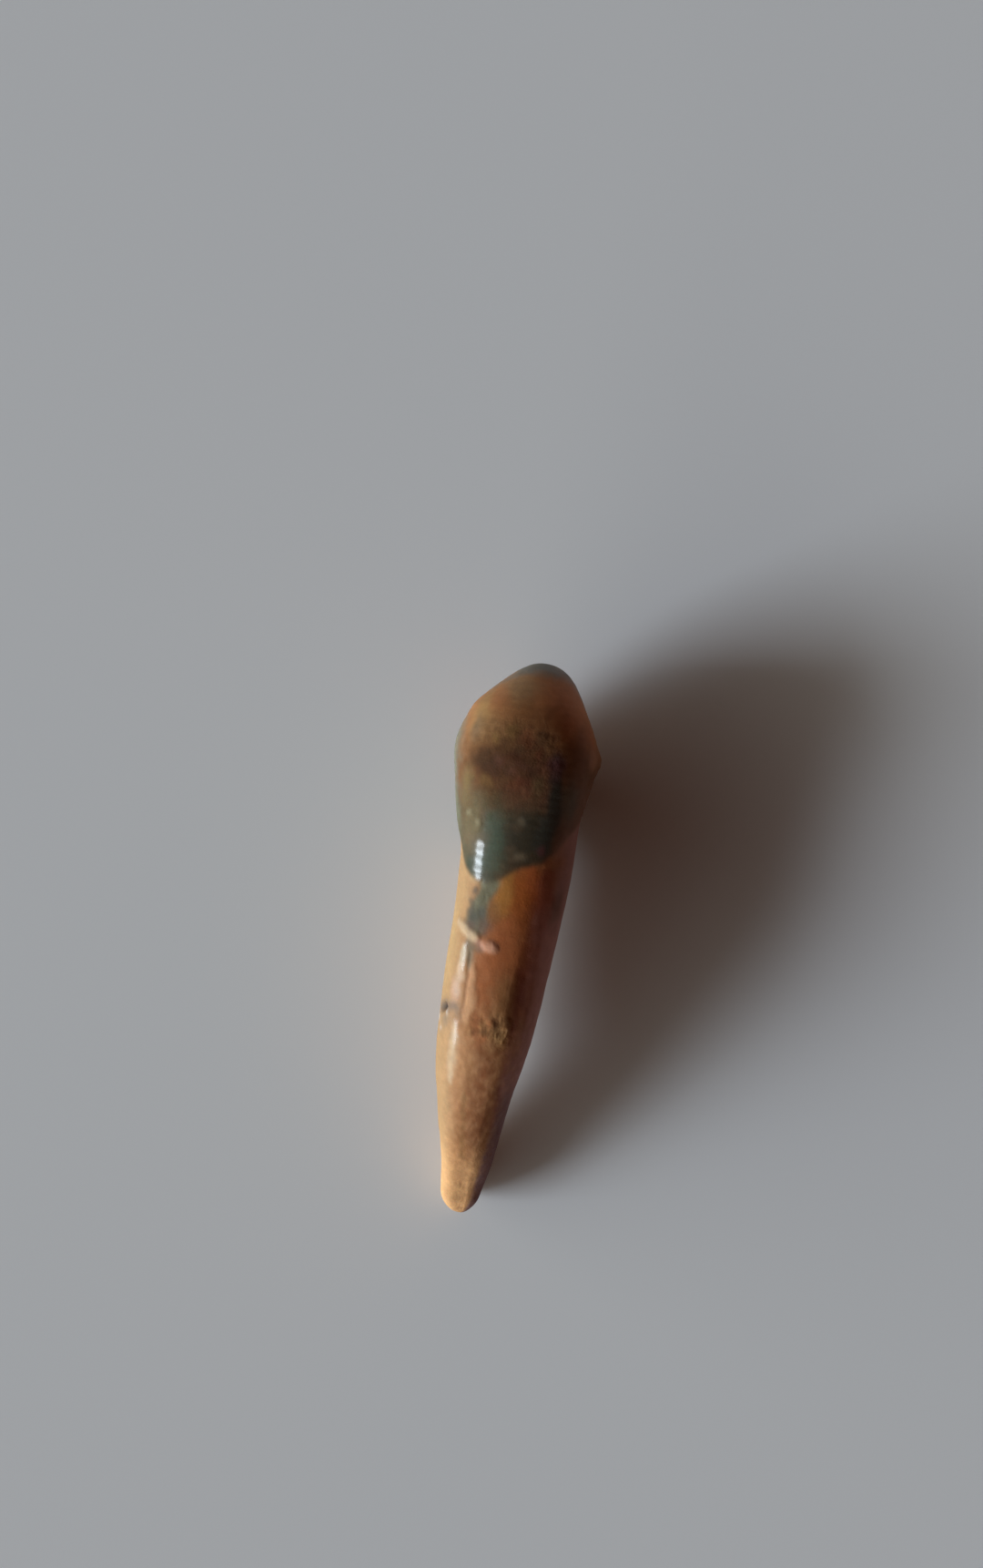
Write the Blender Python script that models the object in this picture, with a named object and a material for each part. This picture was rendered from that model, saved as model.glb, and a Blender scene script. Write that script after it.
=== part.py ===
"""A fossil front tooth of a cave hyena, crown and root grown as one solid.

The tooth lies as it came to rest. The face that was towards the lips is up, and the underside
touches the surface at the bulge behind the crown and at the tip of the root. +Y runs from the
root to the crown, +X is to the right seen from above, +Z is up, and the origin is on the surface
under the middle of the tooth. Lengths here are millimetres, and the mesh is filled in metres.
"""

import math

import bmesh
import bpy
import numpy as np

MM = 0.001

# Overall length, from the tip of the root to the tip of the crown
HALF_LENGTH = 18.0
CROWN_TIP = HALF_LENGTH
ROOT_TIP = -HALF_LENGTH

# Where the rounding of each end begins
CROWN_ROUNDING_FROM = 12.9
ROOT_ROUNDING_FROM = -16.5

# Stations along the tooth, each (place along Y, size). The two sides and the two faces are
# measured from a line inside the tooth, before the ends are rounded.
LEFT_SIDE = (
    (18.1, 3.15), (16.9, 3.4), (15.9, 3.85), (14.9, 4.32), (13.9, 4.5), (12.4, 4.8), (9.9, 4.48),
    (7.9, 4.05), (5.9, 3.56), (3.9, 3.4), (-3.1, 3.3), (-7.6, 3.04), (-11.1, 2.38), (-14.6, 1.68),
    (-18.1, 1.3),
)
RIGHT_SIDE = (
    (18.1, 3.4), (16.9, 3.13), (15.4, 3.2), (13.9, 3.6), (12.5, 4.06), (10.9, 3.88), (8.9, 3.55),
    (7.0, 3.53), (4.9, 3.54), (0.9, 3.27), (-3.1, 2.96), (-6.1, 2.61), (-10.1, 1.95),
    (-13.0, 1.68), (-14.6, 1.51), (-16.3, 1.22), (-18.1, 0.9),
)
UPPER_FACE = (
    (18.1, 3.9), (15.0, 4.4), (11.5, 4.6), (5.0, 3.8), (0.0, 3.5), (-4.6, 3.25), (-9.5, 2.55),
    (-13.3, 1.75), (-16.3, 1.1), (-18.1, 0.9),
)
LOWER_FACE = (
    (18.1, 3.7), (16.0, 3.95), (14.0, 4.8), (11.6, 5.84), (9.7, 6.07), (7.0, 5.35), (5.0, 5.05),
    (0.0, 4.75), (-5.0, 4.4), (-9.5, 3.25), (-11.5, 3.17), (-13.3, 3.0), (-15.0, 2.6), (-16.3, 2.2),
    (-18.1, 2.0),
)
LINE_HEIGHT = (
    (18.1, 4.9), (16.0, 5.5), (14.0, 5.85), (11.5, 6.05), (8.0, 6.0), (0.0, 5.85), (-4.6, 5.7),
    (-9.5, 4.65), (-13.3, 3.45), (-16.3, 2.12), (-18.1, 1.75),
)

# How far the corners of a section stand out past an oval, as a share of its radius
UPPER_FULLNESS = (
    (18.1, 0.02), (14.0, 0.06), (7.0, 0.075), (-4.0, 0.06), (-12.0, 0.08), (-15.0, 0.12), (-18.1, 0.12),
)
LOWER_FULLNESS = ((18.1, 0.0), (12.0, 0.05), (7.0, 0.0), (-4.0, -0.02), (-12.0, 0.0), (-18.1, 0.0))

# The edge of the enamel, each (angle round the tooth in degrees, place along Y). The angle runs
# from the right side over the top to the left side, and on underneath.
ENAMEL_EDGE = (
    (-20.0, 9.2), (0.0, 9.8), (14.0, 9.2), (27.0, 8.6), (43.0, 7.8), (53.0, 7.0), (66.0, 5.9),
    (79.0, 5.5), (90.0, 5.1), (104.0, 4.4), (122.0, 4.1), (140.0, 4.8), (160.0, 6.3), (185.0, 7.1),
    (215.0, 6.2), (250.0, 4.7), (275.0, 4.6), (305.0, 6.0), (340.0, 9.2), (360.0, 9.8),
)
ENAMEL_THICKNESS = 0.07
ENAMEL_EDGE_WIDTH = 0.9

# Low forms on the surface: angle and place of the middle, half angle and half length, and height
DISTAL_FURROW = (64.0, -2.8, 14.0, 4.4, -0.07)
DISTAL_SLOPE = (52.0, -12.5, 30.0, 7.0, -0.14)
RIGHT_HOLLOW = (-22.0, -4.0, 26.0, 9.5, -0.28)
LEFT_HOLLOW = (205.0, -3.0, 28.0, 9.5, -0.3)
LINGUAL_HOLLOW = (270.0, 15.0, 40.0, 3.3, -0.75)
LEFT_CUSPLET = (246.5, 10.6, 14.0, 1.6, 0.66)
RIGHT_CUSPLET = (293.5, 10.3, 14.0, 1.6, 0.8)
SHOULDER_KNOB = (12.0, 12.3, 16.0, 1.0, 0.14)
LEFT_PIT = (157.0, -4.5, 10.0, 0.6, -0.3)
RIGHT_CREST = (54.0, 14.8, 30.0, 3.6, 0.14)
LABIAL_SWELL = (118.0, 12.2, 34.0, 4.0, 0.1)
LOW_FORMS = (
    DISTAL_FURROW, DISTAL_SLOPE, RIGHT_HOLLOW, LEFT_HOLLOW, LINGUAL_HOLLOW, LEFT_CUSPLET,
    RIGHT_CUSPLET, SHOULDER_KNOB, LEFT_PIT, RIGHT_CREST, LABIAL_SWELL,
)

# The canal's mouth at the tip of the root
CANAL_RADIUS = 0.42
CANAL_DEPTH = 0.3

# The worn facet under the point of the crown: how deep it cuts, and how steeply it faces down
FACET_DEPTH = 0.35
FACET_TILT = math.radians(50)

# The mesh: sides round the tooth, rings along it, and how strongly rings crowd at the ends
SIDES = 52
RINGS = 76
CROWDING = 6

# The surface the tooth has worn flat against, which trims the lowest points
TRIM_SIZE = (20.0, 50.0, 4.0)

# Colour and finish of the whole tooth, seen from a step away
TOOTH_COLOUR = (0.27, 0.14, 0.06, 1.0)
TOOTH_ROUGHNESS = 0.42


def clear_scene():
    """Start from an empty scene."""
    for thing in list(bpy.data.objects):
        bpy.data.objects.remove(thing)


def new_collection(name):
    """A named collection in the scene."""
    collection = bpy.data.collections.new(name)
    bpy.context.scene.collection.children.link(collection)
    return collection


def through(stations, place):
    """A smooth curve through the stations: a cubic between each two, with the slope at a station
    taken from its neighbours on both sides."""
    known, size = np.array(sorted(stations)).T
    slope = np.gradient(size, known)
    left = np.clip(np.searchsorted(known, place) - 1, 0, len(known) - 2)
    gap = known[left + 1] - known[left]
    part = (place - known[left]) / gap
    rise = part * part * (3 - 2 * part)
    start = part * (1 - part) ** 2 * gap * slope[left]
    end = -part * part * (1 - part) * gap * slope[left + 1]
    return size[left] + rise * (size[left + 1] - size[left]) + start + end


def rounded_ends(y):
    """A factor that is 1 along the tooth and falls to 0 at each tip along a quarter of an oval."""
    crown = np.clip((y - CROWN_ROUNDING_FROM) / (CROWN_TIP - CROWN_ROUNDING_FROM), 0, 1)
    root = np.clip((ROOT_ROUNDING_FROM - y) / (ROOT_ROUNDING_FROM - ROOT_TIP), 0, 1)
    return np.sqrt((1 - crown**2) * (1 - root**2))


def section_radius(y, angle):
    """Distance from the inner line to the surface. Each quarter of a section is a quarter of an
    oval between its side and its face, and its corner stands out by the fullness there."""
    across, upward = np.cos(angle), np.sin(angle)
    side = np.where(across >= 0, through(RIGHT_SIDE, y), through(LEFT_SIDE, y))
    face = np.where(upward >= 0, through(UPPER_FACE, y), through(LOWER_FACE, y))
    fullness = np.where(upward >= 0, through(UPPER_FULLNESS, y), through(LOWER_FULLNESS, y))
    oval = 1 / np.sqrt((across / side) ** 2 + (upward / face) ** 2)
    return oval * (1 + fullness * np.sin(2 * angle) ** 2)


def low_form(y, angle, form):
    """One rise or hollow that fades out smoothly at its half angle and half length."""
    middle_angle, middle_y, half_angle, half_length, height = form
    turn = np.radians(middle_angle)
    around = np.degrees(np.arctan2(np.sin(angle - turn), np.cos(angle - turn))) / half_angle
    along = (y - middle_y) / half_length
    return height * np.clip(1 - around**2 - along**2, 0, 1) ** 2


def enamel_rise(y, angle, radius):
    """The enamel's thickness over the root: nothing below its edge, all of it above. The distance
    to the edge is measured squarely to it, so a steep stretch has the same slope as a level one."""
    degrees = np.mod(np.degrees(angle), 360)
    edge = through(ENAMEL_EDGE, degrees)
    step = 1.0
    rise = through(ENAMEL_EDGE, degrees + step / 2) - through(ENAMEL_EDGE, degrees - step / 2)
    steepness = rise / (radius * math.radians(step))
    distance = (y - edge) / np.sqrt(1 + steepness**2)
    part = np.clip(distance / ENAMEL_EDGE_WIDTH + 0.5, 0, 1)
    return ENAMEL_THICKNESS * part * part * (3 - 2 * part)


def tooth_points(y, angle):
    """Points of the surface for places along the tooth and angles round it, in millimetres."""
    radius = section_radius(y, angle)
    relief = sum(low_form(y, angle, form) for form in LOW_FORMS)
    relief = relief + enamel_rise(y, angle, radius)
    reach = (radius + relief) * rounded_ends(y)
    x = reach * np.cos(angle)
    z = reach * np.sin(angle) + through(LINE_HEIGHT, y)
    return np.stack([x, y, z], axis=-1)


def open_canal(points):
    """Sink the middle of the root's tip into the mouth of the canal."""
    tip = np.array([0.0, ROOT_TIP, through(LINE_HEIGHT, np.array([ROOT_TIP]))[0]])
    near = np.linalg.norm(points - tip, axis=1) / CANAL_RADIUS
    points[:, 1] += CANAL_DEPTH * np.clip(1 - near**2, 0, 1) ** 2


def wear_facet(points):
    """Press what stands past a slanted plane at the crown's point back onto that plane."""
    facing = np.array([0.0, math.cos(FACET_TILT), -math.sin(FACET_TILT)])
    reach = points @ facing
    over = reach - (reach[points[:, 1] > CROWN_ROUNDING_FROM].max() - FACET_DEPTH)
    over = np.where(points[:, 1] > CROWN_ROUNDING_FROM, np.clip(over, 0, None), 0)
    points -= over[:, None] * facing


def centre(points):
    """Put the middle of the tooth's outline over the origin."""
    outline = points[:, :2]
    points[:, :2] -= (outline.max(axis=0) + outline.min(axis=0)) / 2


def tooth_mesh():
    """A sphere whose rings are carried out along the tooth, each onto its section."""
    body = bmesh.new()
    bmesh.ops.create_uvsphere(body, u_segments=SIDES, v_segments=RINGS, radius=1)
    mesh = bpy.data.meshes.new("tooth")
    body.to_mesh(mesh)
    body.free()
    ball = np.empty(len(mesh.vertices) * 3)
    mesh.vertices.foreach_get("co", ball)
    ball = ball.reshape(-1, 3)
    step = -np.arcsin(np.clip(ball[:, 2], -1, 1)) * 2 / math.pi
    even = step * (1 + (1 - np.abs(step) ** CROWDING) / CROWDING)
    points = tooth_points(HALF_LENGTH * even, np.arctan2(ball[:, 1], ball[:, 0]))
    open_canal(points)
    wear_facet(points)
    centre(points)
    mesh.vertices.foreach_set("co", (points * MM).ravel())
    mesh.update()
    mesh.shade_smooth()
    mesh.set_sharp_from_angle(angle=math.radians(40))
    return mesh


def tooth_material():
    """Brown stained fossil tooth, satin."""
    material = bpy.data.materials.new("tooth")
    material.use_nodes = True
    shader = material.node_tree.nodes["Principled BSDF"]
    shader.inputs["Base Color"].default_value = TOOTH_COLOUR
    shader.inputs["Roughness"].default_value = TOOTH_ROUGHNESS
    shader.inputs["Metallic"].default_value = 0.0
    material.diffuse_color = TOOTH_COLOUR
    return material


def make_trim(collection):
    """A block whose top is the surface the tooth lies on."""
    width, length, depth = TRIM_SIZE
    body = bmesh.new()
    bmesh.ops.create_cube(body, size=1)
    bmesh.ops.scale(body, vec=(width * MM, length * MM, depth * MM), verts=body.verts)
    bmesh.ops.translate(body, vec=(0, 0, -depth * MM / 2), verts=body.verts)
    mesh = bpy.data.meshes.new("resting_surface")
    body.to_mesh(mesh)
    body.free()
    trim = bpy.data.objects.new("resting_surface", mesh)
    trim.hide_render = True
    trim.display_type = "WIRE"
    collection.objects.link(trim)
    return trim


def make_tooth(collection, trim):
    """The tooth, trimmed flat where it rests."""
    tooth = bpy.data.objects.new("tooth", tooth_mesh())
    tooth.data.materials.append(tooth_material())
    collection.objects.link(tooth)
    flats = tooth.modifiers.new("resting_flats", "BOOLEAN")
    flats.operation = "DIFFERENCE"
    flats.solver = "EXACT"
    flats.object = trim
    return tooth


def main():
    """Build the tooth."""
    clear_scene()
    trim = make_trim(new_collection("cutters"))
    make_tooth(new_collection("cave_hyena_tooth"), trim)


main()
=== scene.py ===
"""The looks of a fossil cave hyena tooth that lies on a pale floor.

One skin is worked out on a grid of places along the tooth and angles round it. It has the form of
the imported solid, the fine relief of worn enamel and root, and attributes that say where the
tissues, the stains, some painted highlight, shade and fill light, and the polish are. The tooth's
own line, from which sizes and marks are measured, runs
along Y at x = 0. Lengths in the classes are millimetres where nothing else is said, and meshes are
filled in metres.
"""

import logging
import math
from dataclasses import dataclass, field
from enum import Enum

import bpy
import numpy as np
from mathutils import Matrix, Vector


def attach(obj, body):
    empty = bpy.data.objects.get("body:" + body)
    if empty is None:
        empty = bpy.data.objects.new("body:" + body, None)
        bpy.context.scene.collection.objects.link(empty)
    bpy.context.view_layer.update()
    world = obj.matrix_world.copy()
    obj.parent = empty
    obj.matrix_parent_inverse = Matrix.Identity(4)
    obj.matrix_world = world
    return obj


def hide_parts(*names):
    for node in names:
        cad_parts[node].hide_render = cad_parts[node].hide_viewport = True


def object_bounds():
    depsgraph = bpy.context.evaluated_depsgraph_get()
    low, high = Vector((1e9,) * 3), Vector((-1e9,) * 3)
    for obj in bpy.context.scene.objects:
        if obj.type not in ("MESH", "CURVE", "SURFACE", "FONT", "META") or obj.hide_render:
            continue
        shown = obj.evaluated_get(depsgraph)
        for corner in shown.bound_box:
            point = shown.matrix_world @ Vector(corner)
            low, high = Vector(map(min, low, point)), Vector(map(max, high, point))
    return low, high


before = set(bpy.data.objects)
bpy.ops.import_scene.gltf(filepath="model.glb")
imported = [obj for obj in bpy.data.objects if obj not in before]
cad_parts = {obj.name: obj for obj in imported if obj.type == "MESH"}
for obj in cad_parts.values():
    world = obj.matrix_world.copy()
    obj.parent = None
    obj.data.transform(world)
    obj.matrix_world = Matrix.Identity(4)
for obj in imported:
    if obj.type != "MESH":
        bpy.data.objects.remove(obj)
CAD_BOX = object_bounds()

MM = 0.001
NODE = "tooth"
BODY = "root"
GRAIN_TURN = np.array(Matrix.Rotation(0.9, 3, Vector((1.0, 0.7, 0.5))))
# what scrambles the cells of the noise: large odd factors, shifts, and a mask of 32 bits
CELL_FACTORS = (73856093, 19349663, 83492791)
SEED_FACTOR = 2654435761
SHIFTS_AND_FACTORS = ((15, 2246822519), (13, 3266489917))
LAST_SHIFT = 16
LOW_BITS = 0xFFFFFFFF
# the screen's colour curve: a straight foot, then a power
CURVE_FOOT = 0.04045
CURVE_FOOT_SLOPE = 12.92
CURVE_LIFT = 0.055
CURVE_POWER = 2.4

ScreenColour = tuple[int, int, int]
LightColour = tuple[float, float, float, float]

log = logging.getLogger("tooth")


def smooth(part: np.ndarray) -> np.ndarray:
    """A step from 0 to 1 with level ends: three times the square less twice the cube."""
    part = np.clip(part, 0.0, 1.0)
    return part * part * (3.0 - 2.0 * part)


def fade(inside: np.ndarray, width: float) -> np.ndarray:
    """A smooth step from 0 to 1 over a width, half way up where the depth inside is 0."""
    return smooth(inside / width + 0.5)


def degrees_from(angle: np.ndarray, middle: float) -> np.ndarray:
    """Degrees from a middle, in degrees, to each angle, in radians: from -180 to 180."""
    turn = angle - math.radians(middle)
    return np.degrees(np.arctan2(np.sin(turn), np.cos(turn)))


def linear(colour: ScreenColour) -> np.ndarray:
    """Screen colour as light: the standard curve, a straight foot and then a power.

    Args:
        colour: red, green and blue, 0 to 255.

    Returns:
        Red, green and blue light, 0 to 1.
    """
    part = np.array(colour) / 255
    power = ((part + CURVE_LIFT) / (1 + CURVE_LIFT)) ** CURVE_POWER
    return np.where(part <= CURVE_FOOT, part / CURVE_FOOT_SLOPE, power)


def lattice_values(cells: np.ndarray, seed: int) -> np.ndarray:
    """Scrambled numbers for whole-number cells.

    Args:
        cells: cell indices, shape (n, 3).
        seed: which set of numbers.

    Returns:
        Numbers from -1 to 1, shape (n,).
    """
    mixed = np.bitwise_xor.reduce(cells * np.array(CELL_FACTORS), axis=1)
    mixed = (mixed ^ seed * SEED_FACTOR) & LOW_BITS
    for shift, factor in SHIFTS_AND_FACTORS:
        mixed = (mixed ^ mixed >> shift) * factor & LOW_BITS
    return (mixed ^ mixed >> LAST_SHIFT) / (LOW_BITS // 2) - 1.0


def noise(points: np.ndarray, size: float, seed: int) -> np.ndarray:
    """Value noise: scrambled numbers at the corners of cubes, blended smoothly inside each cube.

    Args:
        points: places, shape (n, 3).
        size: edge of a cube, in the points' unit.
        seed: which set of numbers.

    Returns:
        Noise from -1 to 1, shape (n,).
    """
    place = points / size
    cell = np.floor(place).astype(np.int64)
    x, y, z = smooth(place - cell).T
    total = np.zeros(len(points))
    for corner in np.ndindex(2, 2, 2):
        weight = (x if corner[0] else 1 - x) * (y if corner[1] else 1 - y) * (z if corner[2] else 1 - z)
        total += weight * lattice_values(cell + np.array(corner), seed)
    return total


def fractal(points: np.ndarray, size: float, seed: int, octaves: int = 3) -> np.ndarray:
    """Noise summed over octaves, each with half the size and half the height of the one before,
    and turned so that no grain lines up with the axes.

    Args:
        points: places, shape (n, 3).
        size: size of the first octave's grain, in the points' unit.
        seed: which set of numbers.
        octaves: how many octaves.

    Returns:
        Noise from -1 to 1, shape (n,).
    """
    total = np.zeros(len(points))
    for octave in range(octaves):
        points = points @ GRAIN_TURN
        total += noise(points, size / 2**octave, seed + octave) / 2**octave
    return total / (2.0 - 2.0 ** (1 - octaves))


@dataclass(frozen=True)
class Outline:
    """Sizes at stations along a line, each (place, size), joined by a smooth curve."""

    stations: tuple[tuple[float, float], ...]

    def at(self, place: np.ndarray) -> np.ndarray:
        """The size at each place: a cubic between two stations, with the slope at a station taken
        from its neighbours on both sides.

        Args:
            place: places along the line.

        Returns:
            The size at each place.
        """
        known, size = np.array(sorted(self.stations)).T
        slope = np.gradient(size, known)
        left = np.clip(np.searchsorted(known, place) - 1, 0, len(known) - 2)
        gap = known[left + 1] - known[left]
        part = (place - known[left]) / gap
        rise = part * part * (3 - 2 * part)
        start = part * (1 - part) ** 2 * gap * slope[left]
        end = -part * part * (1 - part) * gap * slope[left + 1]
        return size[left] + rise * (size[left + 1] - size[left]) + start + end


@dataclass(frozen=True)
class LowForm:
    """A broad rise or hollow that fades out at its half angle and half length."""

    angle: float
    place: float
    half_angle: float
    half_length: float
    height: float

    def rise(self, y: np.ndarray, angle: np.ndarray) -> np.ndarray:
        """Height of the form: the square of one less the squared distance from its middle.

        Args:
            y: places along the tooth.
            angle: angles round it.

        Returns:
            The height at each place.
        """
        around = degrees_from(angle, self.angle) / self.half_angle
        along = (y - self.place) / self.half_length
        return self.height * np.clip(1 - around**2 - along**2, 0, 1) ** 2


@dataclass(frozen=True)
class ToothForm:
    """The form of crown and root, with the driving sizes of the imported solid."""

    half_length: float = 18.0
    crown_rounding_from: float = 12.9
    root_rounding_from: float = -16.5
    left_side: Outline = Outline((
        (18.1, 3.15), (16.9, 3.4), (15.9, 3.85), (14.9, 4.32), (13.9, 4.5), (12.4, 4.8), (9.9, 4.48),
        (7.9, 4.05), (5.9, 3.56), (3.9, 3.4), (-3.1, 3.3), (-7.6, 3.04), (-11.1, 2.38), (-14.6, 1.68),
        (-18.1, 1.3),
    ))
    right_side: Outline = Outline((
        (18.1, 3.4), (16.9, 3.13), (15.4, 3.2), (13.9, 3.6), (12.5, 4.06), (10.9, 3.88), (8.9, 3.55),
        (7.0, 3.53), (4.9, 3.54), (0.9, 3.27), (-3.1, 2.96), (-6.1, 2.61), (-10.1, 1.95),
        (-13.0, 1.68), (-14.6, 1.51), (-16.3, 1.22), (-18.1, 0.9),
    ))
    upper_face: Outline = Outline((
        (18.1, 3.9), (15.0, 4.4), (11.5, 4.6), (5.0, 3.8), (0.0, 3.5), (-4.6, 3.25), (-9.5, 2.55),
        (-13.3, 1.75), (-16.3, 1.1), (-18.1, 0.9),
    ))
    lower_face: Outline = Outline((
        (18.1, 3.7), (16.0, 3.95), (14.0, 4.8), (11.6, 5.84), (9.7, 6.07), (7.0, 5.35), (5.0, 5.05),
        (0.0, 4.75), (-5.0, 4.4), (-9.5, 3.25), (-11.5, 3.17), (-13.3, 3.0), (-15.0, 2.6),
        (-16.3, 2.2), (-18.1, 2.0),
    ))
    line_height: Outline = Outline((
        (18.1, 4.9), (16.0, 5.5), (14.0, 5.85), (11.5, 6.05), (8.0, 6.0), (0.0, 5.85), (-4.6, 5.7),
        (-9.5, 4.65), (-13.3, 3.45), (-16.3, 2.12), (-18.1, 1.75),
    ))
    upper_fullness: Outline = Outline((
        (18.1, 0.02), (14.0, 0.06), (7.0, 0.075), (-4.0, 0.06), (-12.0, 0.08), (-15.0, 0.12),
        (-18.1, 0.12),
    ))
    lower_fullness: Outline = Outline((
        (18.1, 0.0), (12.0, 0.05), (7.0, 0.0), (-4.0, -0.02), (-12.0, 0.0), (-18.1, 0.0),
    ))
    enamel_edge: Outline = Outline((
        (-20.0, 9.2), (0.0, 9.8), (14.0, 9.2), (27.0, 8.6), (43.0, 7.8), (53.0, 7.0), (66.0, 5.9),
        (79.0, 5.5), (90.0, 5.1), (104.0, 4.4), (122.0, 4.1), (140.0, 4.8), (160.0, 6.3),
        (185.0, 7.1), (215.0, 6.2), (250.0, 4.7), (275.0, 4.6), (305.0, 6.0), (340.0, 9.2),
        (360.0, 9.8),
    ))
    enamel_thickness: float = 0.07
    enamel_edge_width: float = 0.9
    distal_furrow: LowForm = LowForm(64.0, -2.8, 14.0, 4.4, -0.07)
    distal_slope: LowForm = LowForm(52.0, -12.5, 30.0, 7.0, -0.14)
    right_hollow: LowForm = LowForm(-22.0, -4.0, 26.0, 9.5, -0.28)
    left_hollow: LowForm = LowForm(205.0, -3.0, 28.0, 9.5, -0.3)
    lingual_hollow: LowForm = LowForm(270.0, 15.0, 40.0, 3.3, -0.75)
    left_cusplet: LowForm = LowForm(246.5, 10.6, 14.0, 1.6, 0.66)
    right_cusplet: LowForm = LowForm(293.5, 10.3, 14.0, 1.6, 0.8)
    shoulder_knob: LowForm = LowForm(12.0, 12.3, 16.0, 1.0, 0.14)
    right_crest: LowForm = LowForm(54.0, 14.8, 30.0, 3.6, 0.14)
    labial_swell: LowForm = LowForm(118.0, 12.2, 34.0, 4.0, 0.1)
    facet_depth: float = 0.35
    facet_tilt: float = math.radians(50)

    def low_forms(self) -> tuple[LowForm, ...]:
        """Every broad rise and hollow.

        Returns:
            The forms.
        """
        return (
            self.distal_furrow, self.distal_slope, self.right_hollow, self.left_hollow,
            self.lingual_hollow, self.left_cusplet, self.right_cusplet, self.shoulder_knob,
            self.right_crest, self.labial_swell,
        )

    def rounded_ends(self, y: np.ndarray) -> np.ndarray:
        """Share of the full section: 1, falling to 0 at each tip along a quarter of an oval.

        Args:
            y: places along the tooth.

        Returns:
            The share at each place.
        """
        crown = (y - self.crown_rounding_from) / (self.half_length - self.crown_rounding_from)
        root = (self.root_rounding_from - y) / (self.root_rounding_from + self.half_length)
        return np.sqrt((1 - np.clip(crown, 0, 1) ** 2) * (1 - np.clip(root, 0, 1) ** 2))

    def section_radius(self, y: np.ndarray, angle: np.ndarray) -> np.ndarray:
        """Distance from the tooth's line to its surface. Each quarter of a section is a quarter of
        an oval between a side and a face, and its corner stands out by the fullness there.

        Args:
            y: places along the tooth.
            angle: angles round it.

        Returns:
            The distance at each place.
        """
        across, upward = np.cos(angle), np.sin(angle)
        side = np.where(across >= 0, self.right_side.at(y), self.left_side.at(y))
        face = np.where(upward >= 0, self.upper_face.at(y), self.lower_face.at(y))
        fullness = np.where(upward >= 0, self.upper_fullness.at(y), self.lower_fullness.at(y))
        oval = 1 / np.sqrt((across / side) ** 2 + (upward / face) ** 2)
        return oval * (1 + fullness * np.sin(2 * angle) ** 2)

    def enamel_distance(self, y: np.ndarray, angle: np.ndarray) -> np.ndarray:
        """Distance from the enamel's edge, measured squarely to it: the distance along the tooth,
        shortened by the steepness of the edge there.

        Args:
            y: places along the tooth.
            angle: angles round it.

        Returns:
            The distance at each place, over the enamel if positive.
        """
        degrees = np.mod(np.degrees(angle), 360)
        step = 1.0
        rise = self.enamel_edge.at(degrees + step / 2) - self.enamel_edge.at(degrees - step / 2)
        steepness = rise / (self.section_radius(y, angle) * math.radians(step))
        return (y - self.enamel_edge.at(degrees)) / np.sqrt(1 + steepness**2)

    def points(self, y: np.ndarray, angle: np.ndarray, ragged: np.ndarray) -> np.ndarray:
        """Points of the surface: the section's radius and the relief, shrunk towards the tips and
        turned round the tooth's line.

        Args:
            y: places along the tooth.
            angle: angles round it, from the right side over the upper face.
            ragged: how far the enamel's edge wanders at each point.

        Returns:
            Points, with one more axis than y.
        """
        relief = sum(form.rise(y, angle) for form in self.low_forms())
        over = self.enamel_distance(y, angle) + ragged
        relief = relief + self.enamel_thickness * fade(over, self.enamel_edge_width)
        reach = (self.section_radius(y, angle) + relief) * self.rounded_ends(y)
        x = reach * np.cos(angle)
        z = reach * np.sin(angle) + self.line_height.at(y)
        return np.stack([x, y, z], axis=-1)

    def press_facet(self, points: np.ndarray) -> np.ndarray:
        """Press what stands past a slanted plane at the crown's point onto that plane.

        Args:
            points: points of the surface.

        Returns:
            The points, with the worn facet.
        """
        facing = np.array([0.0, math.cos(self.facet_tilt), -math.sin(self.facet_tilt)])
        reach = points @ facing
        crown = points[..., 1] > self.crown_rounding_from
        over = np.clip(reach - (reach[crown].max() - self.facet_depth), 0, None)
        return points - np.where(crown, over, 0.0)[..., None] * facing


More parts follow.
